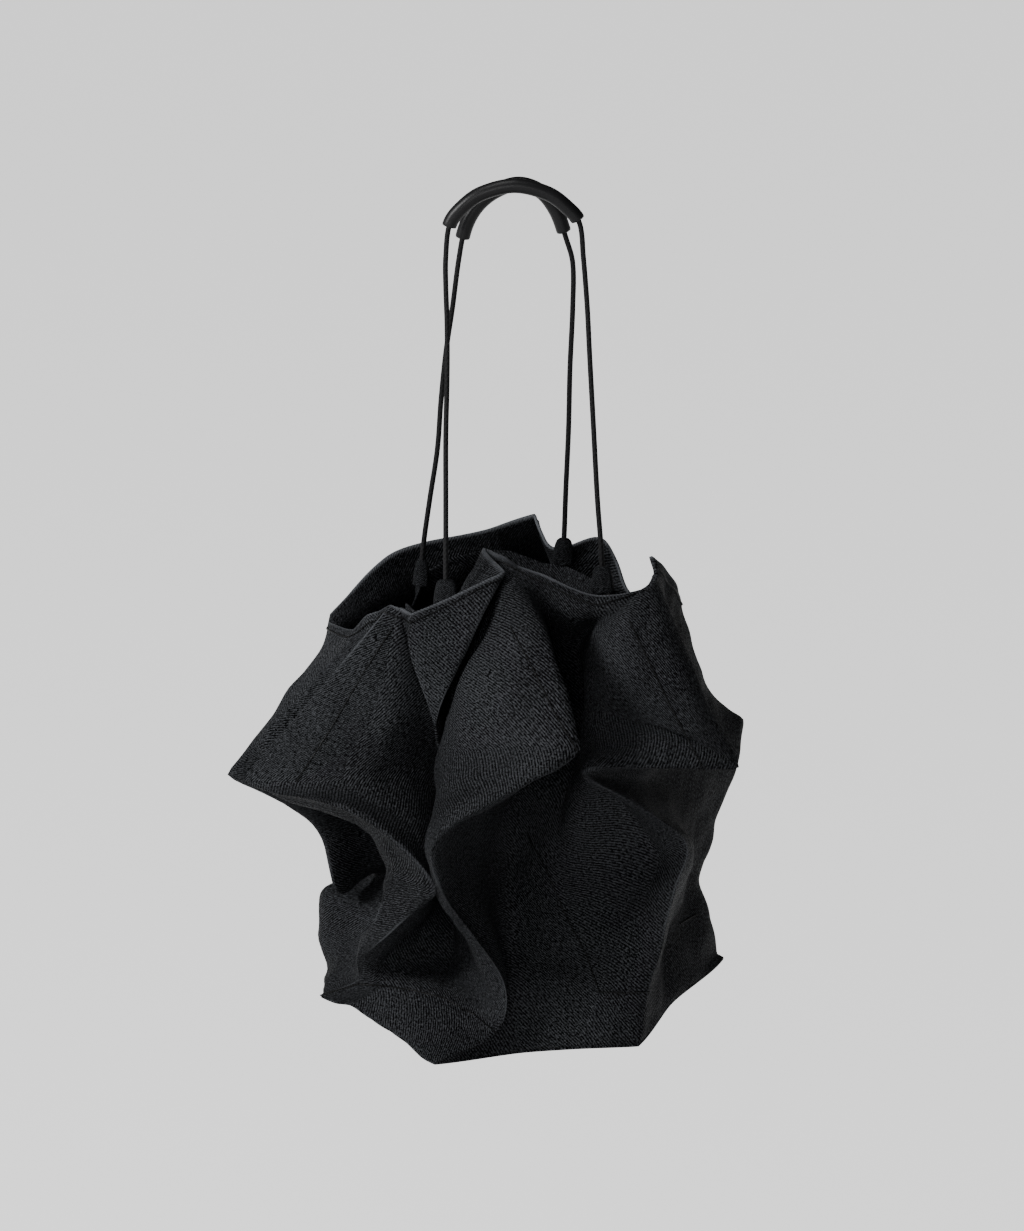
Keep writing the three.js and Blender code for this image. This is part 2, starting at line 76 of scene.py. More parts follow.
# Fold lines round the bag: name, whether it is a sharp crease, faces to the next line in the packed
# part, and one entry for each station: degrees round from the front, reach as a share of the station's
# radius and rise as a share of the body's height, or None where the line passes the station freely
FOLDS = (
    ("left_valley", False, 3, ((-105, 0.95, 0), (-101, 1.02, 0.05), (-95, 1.01, 0.12), (-92, 0.97, 0.2),
        (-89, 0.58, 0.23), (-85, 0.46, 0.31), (-73, 0.58, 0.42), (-68, 1.09, 0.62), (-65, 1.17, 0.77),
        (-64, 1.29, 0.87), (-66, 1.2, 0.9))),
    ("leaf_valley", False, 2, ((-79, 1, 0), (-70, 0.92, 0.06), (-69, 0.82, 0.13), (-68, 0.71, 0.2),
        (-66, 0.52, 0.26), (-59, 0.51, 0.33), (-57, 0.66, 0.45), (-65, 1.07, 0.59), (-62, 1.13, 0.76),
        (-59, 1.22, 0.89), (-61, 1.16, 0.94))),
    ("left_leaf", False, 2, ((-76, 1.01, 0), (-62, 0.92, 0.06), (-55, 0.99, 0.14), (-47, 1.02, 0.24),
        (-42, 0.84, 0.34), (-39, 0.85, 0.41), (-47, 0.91, 0.52), (-65, 1.13, 0.57), (-59, 1.15, 0.76),
        (-55, 1.2, 0.91), (-56, 1.12, 0.96))),
    ("left_flap", True, 2, ((-74, 1.03, 0), (-60, 0.93, 0.07), (-52, 0.98, 0.15), (-40, 1.02, 0.23),
        (-29, 0.85, 0.32), (-22, 0.9, 0.4), (-40, 0.99, 0.55), (-65, 1.21, 0.58), (-58, 1.23, 0.77),
        (-53, 1.24, 0.93), (-52, 1.08, 0.98))),
    ("left_face", False, 3, ((-68, 0.99, 0), (-57, 0.9, 0.06), (-53, 0.91, 0.13), (-42, 0.89, 0.21),
        (-31, 0.73, 0.3), (-26, 0.81, 0.4), (-32, 0.87, 0.53), (-44, 0.99, 0.62), (-43, 1.05, 0.77),
        (-47, 1.16, 0.91), (-49, 1.08, 0.98))),
    ("bib_valley", False, 2, ((-61, 0.96, 0.01), (-54, 0.87, 0.06), (-55, 0.82, 0.12), (-49, 0.76, 0.18),
        (-37, 0.6, 0.27), (-31, 0.65, 0.39), (-30, 0.68, 0.52), (-32, 0.65, 0.62), (-31, 0.77, 0.74),
        (-42, 1.05, 0.88), (-47, 1.08, 0.98))),
    ("bib_left", True, 3, ((-51, 0.95, 0), (-46, 0.8, 0.06), (-53, 0.7, 0.11), (-51, 0.64, 0.18),
        (-42, 0.5, 0.26), (-34, 0.55, 0.38), (-33, 0.58, 0.5), (-28, 0.67, 0.64), (-29, 0.9, 0.75),
        (-38, 1.19, 0.9), (-40, 1.11, 0.98))),
    ("bib_right", True, 2, ((-42, 0.96, -0.01), (-37, 0.76, 0.06), (-48, 0.61, 0.1), (-49, 0.56, 0.17),
        (-45, 0.43, 0.26), (-39, 0.45, 0.37), (-36, 0.49, 0.49), (-31, 0.57, 0.63), (-27, 0.91, 0.76),
        (-16, 1.06, 0.96), (-9, 0.69, 1.06))),
    ("middle_valley", False, 2, ((-35, 0.99, -0.02), (-27, 0.76, 0.05), (-40, 0.56, 0.1), (-45, 0.48, 0.17),
        (-46, 0.34, 0.26), (-42, 0.33, 0.36), (-37, 0.38, 0.49), (-34, 0.44, 0.61), (-31, 0.67, 0.74),
        (-35, 0.77, 0.96), (-40, 0.38, 1.07))),
    ("middle_roll", False, 4, ((-27, 1.08, -0.03), (-17, 0.8, 0.03), (-20, 0.68, 0.11), (-24, 0.7, 0.21),
        (-26, 0.62, 0.33), (-25, 0.74, 0.44), (-25, 0.77, 0.57), (-26, 0.75, 0.67), (-24, 0.86, 0.79),
        (-15, 0.88, 0.95), (-22, 0.43, 1.07))),
    ("middle_flap", True, 3, ((-22, 1.14, -0.03), (-8, 0.95, 0.02), (-5, 0.95, 0.13), (-12, 1.08, 0.27),
        (-19, 1.01, 0.42), (-18, 1.06, 0.55), (-2, 1.08, 0.67), (12, 1.1, 0.77), (9, 1, 0.94),
        (3, 0.85, 1.01), (-4, 0.55, 1.06))),
    ("cavity_left", False, 3, ((-1, 0.84, -0.04), (-4, 0.8, 0.09), (-6, 0.7, 0.17), (-8, 0.62, 0.27),
        (-8, 0.44, 0.37), (-4, 0.41, 0.48), (1, 0.43, 0.57), (9, 0.43, 0.68), (22, 0.39, 0.85),
        (14, 0.72, 0.97), (10, 0.63, 1.05))),
    ("band", False, 2, ((17, 0.88, -0.03), (24, 0.9, 0.1), (22, 0.82, 0.18), (17, 0.77, 0.27),
        (14, 0.58, 0.37), (15, 0.55, 0.49), (22, 0.5, 0.59), (31, 0.41, 0.69), (35, 0.45, 0.86),
        (30, 0.88, 0.96), (33, 0.87, 1.01))),
    ("right_roll", False, 4, ((28, 0.93, -0.03), (32, 0.96, 0.1), (37, 0.97, 0.3), (41, 0.99, 0.41),
        (30, 0.75, 0.56), (18, 0.84, 0.66), (21, 0.72, 0.69), (24, 0.64, 0.77), (28, 0.73, 0.92),
        (39, 1.01, 0.99), (53, 1.07, 1.03))),
    ("right_flap", True, 3, ((35, 0.98, -0.03), (38, 1.01, 0.11), (40, 1.14, 0.35), (41, 1.21, 0.48),
        (26, 0.97, 0.6), (13, 1.03, 0.7), (30, 1.07, 0.69), (47, 1.15, 0.66), (49, 1.1, 0.87),
        (54, 1.11, 1.01), (58, 0.97, 1.08))),
    ("right_valley", False, 3, ((63, 0.82, 0), (71, 0.75, 0.15), (74, 0.8, 0.23), (76, 0.83, 0.32),
        (76, 0.67, 0.42), (75, 0.67, 0.51), (74, 0.67, 0.6), (73, 0.66, 0.67), (74, 0.77, 0.8),
        (73, 0.97, 0.94), (74, 0.98, 1.01))),
    ("far_right_flap", True, 3, ((105, 1.03, 0), (105, 0.96, 0.09), (104, 0.89, 0.18), (104, 0.9, 0.24),
        (105, 0.78, 0.32), (107, 0.85, 0.4), (111, 0.92, 0.47), (116, 0.98, 0.54), (110, 0.98, 0.65),
        (101, 1.11, 0.81), (95, 1.03, 0.91))),
    ("back_right_valley", False, 3, ((128, 0.86, 0), (128, 0.8, 0.08), None, (128, 0.7, 0.25), None,
        (128, 0.5, 0.44), None, (125, 0.5, 0.63), (119, 0.58, 0.74), (112, 0.72, 0.83), (109, 0.76, 0.9))),
    ("back_right_lobe", False, 2, ((139, 0.9, 0), (140, 0.86, 0.08), None, (141, 0.78, 0.25), None,
        (141, 0.62, 0.44), None, (138, 0.62, 0.67), (137, 0.66, 0.8), (137, 0.74, 0.92), (138, 0.78, 1))),
    ("mouth_tuck", False, 3, ((147, 0.94, 0), (150, 0.9, 0.08), None, (154, 0.83, 0.25), None,
        (156, 0.64, 0.44), None, (156, 0.6, 0.68), (156, 0.6, 0.82), (156, 0.58, 0.93), (156, 0.5, 0.99))),
    ("back_flap", True, 3, ((155, 1, 0), (160, 0.96, 0.08), (167, 1, 0.18), (172, 1.08, 0.28),
        (177, 0.93, 0.37), (179, 1.01, 0.45), (170, 1.08, 0.53), (160, 1.17, 0.6), (164, 1.06, 0.76),
        (170, 0.94, 0.95), (174, 0.76, 1.04))),
    ("back_valley", False, 3, ((185, 0.86, 0), (186, 0.8, 0.08), None, (190, 0.68, 0.26), None,
        (194, 0.5, 0.46), None, (198, 0.5, 0.67), (200, 0.56, 0.8), (200, 0.68, 0.92), (200, 0.71, 1.01))),
    ("back_left_lobe", False, 3, ((201, 0.9, 0), (206, 0.84, 0.08), None, (220, 0.7, 0.26), None,
        (232, 0.56, 0.46), None, (238, 0.64, 0.67), (240, 0.74, 0.8), (243, 0.82, 0.9), (248, 0.92, 0.99))),
    ("far_left_flap", True, 3, ((-145, 0.98, 0.01), (-140, 0.94, 0.05), (-132, 0.87, 0.12),
        (-118, 0.79, 0.19), (-102, 0.6, 0.25), (-77, 0.75, 0.23), (-76, 0.85, 0.41), (-75, 1.21, 0.55),
        (-72, 1.21, 0.74), (-79, 1.36, 0.82), (-88, 1.27, 0.87))),
)

# The upper edge of the casing: places as the fold lines have at the casing, or the tab that it is under
CASING = (
    (-45, 0.99, 0.97), "front_left", (-38, 0.759, 0.97), (-40, 0.668, 0.99), (-31, 0.58, 1), (16, 0.623, 1),
    (30, 0.635, 0.98), "front_right", (73, 0.583, 0.97), (108, 0.474, 0.95), "back_right", (164, 0.493, 0.95),
    (-173, 0.562, 0.97), (-157, 0.645, 0.97), (-135, 0.684, 0.96), (-117, 0.783, 0.93), "back_left",
    (-71, 0.759, 0.93), (-54, 0.93, 0.97),
)

# The routes of the two cords in millimetres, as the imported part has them
FRONT_CORD = (
    (-51, -88, -303), (-51, -79, -273), (-51, -64, -228), (-51, -50, -184), (-50, -36, -139),
    (-50, -26, -101), (-51, -18, -71), (-51, -12, -50), (-48, -8, -25), (-38, -8, -11), (-23, -8, 0),
    (2, -8, 6), (27, -8, 0), (42, -8, -11), (52, -8, -24), (55, -9, -51), (58, -13, -89), (60, -20, -128),
    (63, -30, -182), (66, -40, -236), (69, -47, -275), (70, -50, -304),
)
BACK_CORD = (
    (-71, 12, -318), (-69, 13, -290), (-64, 13, -253), (-58, 12, -212), (-55, 11, -171), (-51, 9, -131),
    (-46, 8, -96), (-41, 8, -57), (-36, 8, -32), (-27, 8, -15), (-13, 8, -3), (5, 8, 3), (22, 8, -3),
    (34, 9, -19), (42, 10, -42), (47, 11, -62), (47, 14, -98), (45, 20, -149), (44, 28, -201), (42, 36, -253),
    (41, 42, -287), (40, 45, -311),
)

# Each cord with its real length in metres
CORDS = (("front", FRONT_CORD, 0.697), ("back", BACK_CORD, 0.681))

# Rows of stitches, as places across and up in the plane that faces the camera, in metres from the
# middle of the base: each row is dropped on the cloth along the camera's line of sight
SEAMS = {
    "left_flap": ((-0.101, 0.274), (-0.124, 0.238), (-0.149, 0.195), (-0.174, 0.157)),
    "middle_flap": ((-0.009, 0.274), (0.008, 0.242), (0.023, 0.211), (0.037, 0.188), (0.040, 0.182)),
    "right_flap": ((0.082, 0.279), (0.112, 0.216), (0.138, 0.166)),
    "left_foot": ((-0.158, -0.014), (-0.129, -0.004), (-0.112, -0.005), (-0.088, -0.008), (-0.062, -0.014)),
    "middle_foot": ((-0.062, -0.014), (-0.037, -0.027), (-0.021, -0.039)),
    "right_foot": ((0.058, -0.008), (0.078, -0.009), (0.097, -0.008)),
    "panel": ((0.005, 0.111), (0.021, 0.081), (0.033, 0.051), (0.049, 0.021), (0.059, -0.008)),
    "far_foot": ((0.124, 0.042), (0.136, 0.048)),
}

# Rows of stitches: steps along them, the jump that parts them, their lift off the cloth and their fewest
# points, and for the row round the rim its distance from the hem's edge and its lift
SEAM_STEP, SEAM_BREAK, SEAM_LIFT, SEAM_POINTS = 0.0012, 0.006, 0.0003, 5
RIM_SEAM, RIM_LIFT = 0.0015, 0.0002

# How far panels swell out, in metres, by the fold line at their left, and how much of it they do at
# heights up the cloth
PUFFS = {"middle_roll": 0.018, "right_roll": 0.014, "left_face": 0.006, "leaf_valley": 0.004,
         "cavity_left": 0.005}
PUFF_HEIGHTS = ((0, 0.3, 0.45, 0.62, 0.8, 1), (0, 0.2, 0.3, 1, 1, 0.2))

# Noise in the cloth: dents a metre, columns and rows to a wave, and the width of four columns under
# which the cloth is folded too tightly to dent
BROAD_DENTS, FINE_DENTS = 21, 55
DRAG_COLUMNS, DRAG_ROWS, CALM_ROOM = 8, 30, 0.016

# Painted highlight on folded edges: the turn per metre for a full highlight, and the most highlight painted
# on a fold and on the rim
HIGHLIGHT_TURN, FOLD_HIGHLIGHT, RIM_HIGHLIGHT = 160, 0.7, 0.8

# The rim's hem: how far its edge slopes and stands out. The base's cloth: the heights of its two faces
HEM_SLOPE, HEM_RAISE = 0.002, 0.0005
BASE_LEVELS = (-0.0004, -0.0019)

# Places up a tab's sleeve, as shares of its height, with its width there as a share of its foot's
TAB_PROFILE = ((0.0, 0.9), (0.05, 1.0), (0.35, 0.97), (0.62, 0.9), (0.82, 0.8), (0.94, 0.68), (1.0, 0.5))

# Where the leather laps over itself round a grip, in radians, and how far it stands up
LAP_START, LAP_EDGE, LAP_FADE, LAP_RAISE = 3.75, 4.1, 0.42, 0.00055

# Spots a metre across and along the twill's dashes and flecks, and how far each panel's weave is moved
# up from the last one's
DASHES, FLECKS, PANEL_SHIFT = (700, 210), (560, 640), 0.0137

# Strands that wind each way round a cord, and how far along it one turn takes
BRAID_STRANDS, BRAID_PITCH = 4, 0.0045

# The studio: half the floor's side and its height, the sky's strength, and the lights, each with its
# place, the point that it faces, its side and its power in watts
FLOOR_REACH, FLOOR_LEVEL, SKY = 60.0, -1.25, 0.07
LIGHTS = (
    ("key", (-3.1, -1.5, 1.5), (0, 0, -0.45), 0.9, 310.0),
    ("fill", (-0.5, -3.2, 0.7), (0, 0, -0.45), 1.2, 62.0),
    ("top", (-0.6, -0.3, 2.2), (0, 0, -0.4), 1.0, 40.0),
)


class Wire:
    """A node socket that arithmetic can be written with."""

    def __init__(self, tree, socket):
        self.tree = tree
        self.socket = socket

    def math(self, operation, *others, clamp=False, last=False):
        """A Math node on this socket, first or last, and the others."""
        node = self.tree.nodes.new("ShaderNodeMath")
        node.operation = operation
        node.use_clamp = clamp
        for slot, value in enumerate((*others, self) if last else (self, *others)):
            if isinstance(value, Wire):
                self.tree.links.new(value.socket, node.inputs[slot])
            else:
                node.inputs[slot].default_value = value
        return Wire(self.tree, node.outputs[0])

    def wave(self):
        """A sine wave from 0 to 1."""
        return self.math("SINE") * 0.5 + 0.5

    def __add__(self, other):
        return self.math("ADD", other)

    def __sub__(self, other):
        return self.math("SUBTRACT", other)

    def __rsub__(self, other):
        return self.math("SUBTRACT", other, last=True)

    def __mul__(self, other):
        return self.math("MULTIPLY", other)

    __radd__ = __add__
    __rmul__ = __mul__


class Finish:
    """A material whose nodes are made one call at a time, around one Principled shader."""

    def __init__(self, name, colour, roughness, **constants):
        self.material = bpy.data.materials.new(name)
        self.material.diffuse_color = (*colour, 1)
        self.material.use_nodes = True
        self.tree = self.material.node_tree
        self.shader = self.tree.nodes["Principled BSDF"]
        self.shader.inputs["Base Color"].default_value = (*colour, 1)
        self.shader.inputs["Roughness"].default_value = roughness
        for label, value in constants.items():
            self.shader.inputs[label.replace("_", " ")].default_value = value

    def node(self, kind, output, links=None, values=None, **settings):
        made = self.tree.nodes.new(kind)
        for label, value in settings.items():
            setattr(made, label, value)
        for label, value in (values or {}).items():
            made.inputs[label].default_value = value
        for label, wire in (links or {}).items():
            self.tree.links.new(wire.socket, made.inputs[label])
        return Wire(self.tree, made.outputs[output])

    def place(self, name):
        return self.node("ShaderNodeTexCoord", name)

    def across_along(self):
        """How far across and along its own panel or cord a point is, from the piece's uvs."""
        across = self.node("ShaderNodeSeparateXYZ", "X", {"Vector": self.place("UV")})
        return across, Wire(self.tree, across.socket.node.outputs["Y"])

    def speckle(self, vector, scale, detail=2.0, roughness=0.5):
        values = {"Scale": scale, "Detail": detail, "Roughness": roughness}
        return self.node("ShaderNodeTexNoise", "Fac", {"Vector": vector}, values)

    def join(self, x, y):
        """A vector from two lengths."""
        return self.node("ShaderNodeCombineXYZ", "Vector", {"X": x, "Y": y})

    def mix(self, share, low, high):
        """A colour between two, by a share from 0 to 1."""
        made = self.tree.nodes.new("ShaderNodeMix")
        made.data_type = "RGBA"
        self.tree.links.new(share.socket, made.inputs[0])
        for slot, colour in ((6, low), (7, high)):
            if isinstance(colour, Wire):
                self.tree.links.new(colour.socket, made.inputs[slot])
            else:
                made.inputs[slot].default_value = (*colour, 1)
        return Wire(self.tree, made.outputs[2])

    def bump(self, height, distance, strength=1.0, under=None):
        links = {"Height": height}
        if under is not None:
            links["Normal"] = under
        return self.node("ShaderNodeBump", "Normal", links, {"Distance": distance, "Strength": strength})

    def use(self, label, wire):
        self.tree.links.new(wire.socket, self.shader.inputs[label])


def shade(colour, factor):
    return tuple(part * factor for part in colour)


def cloth_finish():
    """Black twill: raised diagonal ribs that follow the cloth, crossed by its threads."""
    colours = bpy.context.scene.bag_colours
    made = Finish("twill_cloth", colours.cloth, 0.62, Specular_IOR_Level=0.012)
    across, along = made.across_along()
    place = made.place("Object")
    wander = made.speckle(place, 90.0, 3.0, 0.6) - 0.5
    slant, counter = across + along, across - along
    rib = 2 * math.pi / colours.rib
    ribs = (slant * rib + wander * 2.2).wave()
    threads = (counter * (rib * 1.55) + wander * 3.0).wave()
    dashes = made.speckle(made.join(slant * DASHES[0], counter * DASHES[1]), 1.0, 3.0, 0.65)
    flecks = made.speckle(made.join(across * FLECKS[0], along * FLECKS[1]), 1.0, 3.0, 0.65)
    broad = made.speckle(place, 9.0, 3.0, 0.5)
    tone = dashes * 3.4 + flecks * 2.6 + ribs * 0.7 + broad * 0.8 - 3.45
    tone = tone.math("MAXIMUM", 0.0).math("MINIMUM", 1.0)
    # Painted highlight: folded edges and the rim are mixed towards a much lighter cloth colour
    painted_highlight = made.node("ShaderNodeAttribute", "Fac", attribute_name="painted_highlight")
    plain = made.mix(tone, shade(colours.cloth, 0.1), shade(colours.cloth, 5.2))
    made.use("Base Color", made.mix(painted_highlight, plain, shade(colours.cloth, 9)))
    made.use("Roughness", 0.66 - tone * 0.26)
    drape = made.bump(made.speckle(place, 26.0, 3.0, 0.5), 0.007, 0.8)
    weave = ribs * 0.4 + ribs * threads * 0.4 + dashes * 1.4 + flecks * 0.7
    made.use("Normal", made.bump(weave, 0.0009, 1.0, drape))
    return made.material


def leather_finish():
    """Smooth black leather with a fine grain."""
    colours = bpy.context.scene.bag_colours
    made = Finish("grip_leather", colours.leather, 0.36, Coat_Weight=0.02, Coat_Roughness=0.3,
                  Specular_IOR_Level=0.1)
    place = made.place("Object")
    cells = made.node("ShaderNodeTexVoronoi", "Distance", {"Vector": place}, {"Scale": 900.0})
    grain = made.speckle(place, 500.0, 4.0, 0.6)
    broad = made.speckle(place, 40.0, 3.0, 0.5)
    tone = (grain * 0.5 + broad * 0.7 - 0.25).math("MULTIPLY", 1.0, clamp=True)
    made.use("Base Color", made.mix(tone, shade(colours.leather, 0.6), shade(colours.leather, 1.9)))
    made.use("Roughness", 0.3 + broad * 0.14 + grain * 0.08)
    made.use("Normal", made.bump(cells * 0.6 + grain * 0.4, 0.00015, 0.5))
    return made.material


def braid_finish():
    """Strands that wind both ways round the cord, from its own across and along."""
    colours = bpy.context.scene.bag_colours
    made = Finish("cord_braid", colours.braid, 0.6, Specular_IOR_Level=0.06)
    across, along = made.across_along()
    turn = across * (2 * math.pi * BRAID_STRANDS)
    wind = along * (2 * math.pi / BRAID_PITCH)
    strands = (turn + wind).wave().math("MAXIMUM", (turn - wind).wave())
    fuzz = made.speckle(made.place("Object"), 1500.0, 3.0, 0.6)
    tone = (strands * 0.5 + fuzz * 0.8 - 0.35).math("MULTIPLY", 1.0, clamp=True)
    made.use("Base Color", made.mix(tone, shade(colours.braid, 0.5), shade(colours.braid, 2.2)))
    made.use("Roughness", 0.5 + fuzz * 0.25)
    made.use("Normal", made.bump(strands * 0.8 + fuzz * 0.3, 0.0004, 0.8))
    return made.material


def thread_finish():
    colours = bpy.context.scene.bag_colours
    made = Finish("sewing_thread", colours.thread, 0.5, Specular_IOR_Level=0.08)
    fuzz = made.speckle(made.place("Object"), 2500.0)
    made.use("Base Color", made.mix(fuzz, shade(colours.thread, 0.6), colours.thread))
    made.use("Roughness", 0.4 + fuzz * 0.2)
    return made.material


FINISHES = {"twill_cloth": cloth_finish, "grip_leather": leather_finish, "cord_braid": braid_finish,
            "sewing_thread": thread_finish}


def finish(name):
    """The material of that name, made on its first use."""
    return bpy.data.materials.get(name) or FINISHES[name]()


def placed(name, data):
    made = bpy.data.objects.new(name, data)
    bpy.context.scene.collection.objects.link(made)
    return made


def add_piece(name, points, faces, material, nodes, uvs, painted_highlight=None):
    """A mesh piece that rides on the one body, stands for CAD nodes and takes a finish."""
    mesh = bpy.data.meshes.new(name)
    mesh.from_pydata([tuple(p) for p in points], [], faces)
    mesh.uv_layers.new(name="UVMap").data.foreach_set("uv", np.asarray(uvs, np.float32).ravel())
    # An optional painted highlight for each point, kept as an attribute that the twill is lightened by
    if painted_highlight is not None:
        values = np.asarray(painted_highlight, np.float32)
        mesh.attributes.new("painted_highlight", "FLOAT", "POINT").data.foreach_set("value", values)
    mesh.shade_smooth()
    mesh.materials.append(finish(material))
    mesh.validate()
    return settle(placed(name, mesh), nodes)


def settle(piece, nodes):
    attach(piece, "root")
    if nodes:
        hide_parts(*nodes)
    return piece


def station_point(cell, name):
    """A fold line's point at a station, from its turn, reach and rise."""
    turn, reach, rise = cell
    angle, radius = math.radians(turn), reach * STATIONS[name]
    return np.array((radius * math.sin(angle), -radius * math.cos(angle), rise * BODY_HEIGHT))


def hermite(start, leave, end, arrive, share):
    two, three = share ** 2, share ** 3
    return (start * (2 * three - 3 * two + 1) + leave * (three - 2 * two + share)
            + end * (3 * two - 2 * three) + arrive * (three - two))


def smooth_through(knots, station):
    """The point at a station of the smooth curve through knots, each a station and a point."""
    index = 0
    while index < len(knots) - 2 and knots[index + 1][0] <= station:
        index += 1
    low, high = knots[index], knots[index + 1]
    span = high[0] - low[0]
    before, after = knots[max(index - 1, 0)], knots[min(index + 2, len(knots) - 1)]
    leave = (high[1] - before[1]) * span / (high[0] - before[0])
    arrive = (after[1] - low[1]) * span / (after[0] - low[0])
    return hermite(low[1], leave, high[1], arrive, (station - low[0]) / span)


def fold_line(fold, steps):
    """All rows of one fold line from the corner of the base to the rim."""
    _, crease, _, cells = fold
    knots = [(index, station_point(cell, NAMES[index])) for index, cell in enumerate(cells) if cell]
    rows = []
    for step in range((len(NAMES) - 1) * steps + 1):
        station = step / steps
        part = knots
        if crease:
            below = station <= TIP
            part = [knot for knot in knots if (knot[0] <= TIP if below else knot[0] >= TIP)]
        rows.append(smooth_through(part, station))
    return np.array(rows)


def lengths(vectors):
    return np.linalg.norm(vectors, axis=-1, keepdims=True)


def unit(vectors):
    return vectors / lengths(vectors)


def run_along(points):
    """How far each point is from the first one, along a line or up each column of a grid."""
    steps = lengths(np.diff(points, axis=0))[..., 0]
    return np.concatenate([np.zeros_like(steps[:1]), np.cumsum(steps, axis=0)])


def points_at(at, run, points):
    """Points of a line at some distances along it."""
    return np.stack([np.interp(at, run, points[:, axis]) for axis in range(3)], axis=1)


def resampled(points, step):
    """The same line with its points a step apart."""
    run = run_along(points)
    return points_at(np.linspace(0, run[-1], max(2, round(run[-1] / step) + 1)), run, points)


def cloth_grid(steps, across):
    """The outer face as rows by columns of points, with the column at which each panel starts."""
    lines = [fold_line(fold, steps) for fold in FOLDS]
    count = len(lines)
    columns, starts = [], []
    for index, (_, crease, faces, _) in enumerate(FOLDS):
        before, here = lines[index - 1], lines[index]
        following, after = lines[(index + 1) % count], lines[(index + 2) % count]
        chord = following - here
        width = lengths(chord)
        billow = unit((here + following) * (1, 1, 0)) * width * BILLOW
        leave = chord + billow if crease else unit(following - before) * width * SOFTNESS
        sharp = FOLDS[(index + 1) % count][1]
        arrive = chord - billow if sharp else unit(after - here) * width * SOFTNESS
        starts.append(len(columns))
        cells = faces * across
        columns += [hermite(here, leave, following, arrive, step / cells) for step in range(cells)]
    return np.stack(columns, axis=1), starts


def relaxed(grid, pull):
    """Rounds creases off a little, as pressed cloth does, and leaves the base's edge in place."""
    sides = (np.roll(grid, 1, axis=1) + np.roll(grid, -1, axis=1)) / 2
    ends = sides.copy()
    ends[1:-1] = (grid[:-2] + grid[2:]) / 2
    goal = (sides + ends) / 2
    goal[0], goal[-1] = grid[0], (sides[-1] + grid[-1]) / 2
    return grid + (goal - grid) * pull


def grid_normals(grid):
    side = np.roll(grid, -1, axis=1) - np.roll(grid, 1, axis=1)
    normal = np.cross(side, np.gradient(grid, axis=0))
    return normal / np.maximum(lengths(normal), 1e-9)


def panels(grid, starts):
    """Each panel's fold line with its first column and the next panel's."""
    return zip(FOLDS, starts, starts[1:] + [grid.shape[1]])


def puffed(grid, starts):
    """Fills named panels out, most at their middle and at the height of the flaps' hems."""
    normals = grid_normals(grid)
    height = np.interp(np.linspace(0, 1, len(grid)), *PUFF_HEIGHTS)[:, None]
    out = grid.copy()
    for fold, start, end in panels(grid, starts):
        swell = PUFFS.get(fold[0], 0) * np.sin(np.pi * np.linspace(0, 1, end - start, endpoint=False))
        out[:, start:end] += normals[:, start:end] * (height * swell)[..., None]
    return out


def edge_highlight(grid):
    """A painted highlight at each point, from 0 to 1, by how sharply the cloth turns outward there, and set
    along the rim: folded edges catch the light.
    """
    normals = grid_normals(grid)
    spread = np.roll(grid, 1, axis=1) + np.roll(grid, -1, axis=1) - 2 * grid
    width = lengths(np.roll(grid, 1, axis=1) - np.roll(grid, -1, axis=1))[..., 0]
    turn = -(spread * normals).sum(axis=2) / np.maximum(width, 0.001) ** 2
    painted_highlight = np.clip(turn / HIGHLIGHT_TURN - 0.5, 0, FOLD_HIGHLIGHT)
    painted_highlight[-1] = RIM_HIGHLIGHT
    return painted_highlight.ravel()


def wrinkled(grid, sizes):
    """Slack and drag in the cloth: broad dents, and finer waves that run up the panels."""
    normals = grid_normals(grid)
    out = grid.copy()
    rows, columns = grid.shape[:2]
    room = lengths(np.roll(grid, -2, axis=1) - np.roll(grid, 2, axis=1))[..., 0]
    near_rim = np.interp(np.linspace(0, 1, rows), (0.85, 1), (1, 0.4))[:, None]
    calm = np.clip(room / CALM_ROOM - 0.3, 0.05, 1) * near_rim
    for row in range(1, rows):
        for column in range(columns):
            place = Vector(grid[row, column])
            broad = noise.noise(place * BROAD_DENTS + Vector((3, 1, 7)))
            middle = noise.noise(place * FINE_DENTS + Vector((11, 4, 2)))
            drag = noise.noise(Vector((column / DRAG_COLUMNS, row / DRAG_ROWS, 5.0)))
            lift = broad * sizes.slack + middle * sizes.slack * 0.35 + drag * sizes.drag
            out[row, column] += normals[row, column] * lift * calm[row, column]
    return out


def ring_faces(rings, count, closed=False):
    """Faces between rings of points: each one's ring, its step round the ring and its corners."""
    for ring in range(rings if closed else rings - 1):
        low, high = ring * count, (ring + 1) % rings * count
        for step in range(count):
            other = (step + 1) % count
            yield ring, step, (low + step, low + other, high + other, high + step)


def square(left, right, low, high):
    """The uvs of a face's corners."""
    return (left, low), (right, low), (right, high), (left, high)


def turned(corners):
    """Corners the other way round, from the same first one."""
    return (corners[0], *corners[:0:-1])


def panel_uvs(grid, starts):
    """Lengths across and along each panel in metres, for each corner of each face."""
    rows, columns = grid.shape[:2]
    widths = lengths(np.roll(grid, -1, axis=1) - grid)[..., 0]
    climbs = run_along(grid)
    across = np.zeros((rows, columns, 2))
    along = np.zeros((rows, columns))
    for index, (fold, start, end) in enumerate(panels(grid, starts)):
        run = np.cumsum(widths[:, start:end], axis=1)
        middle = run[:, -1:] / 2
        facing = -1 if fold[0].startswith("left") else 1
        across[:, start:end, 1] = (run - middle) * facing
        across[:, start:end, 0] = (run - widths[:, start:end] - middle) * facing
        along[:, start:end] = climbs[:, start:end].mean(axis=1)[:, None] + index * PANEL_SHIFT
    return across, along


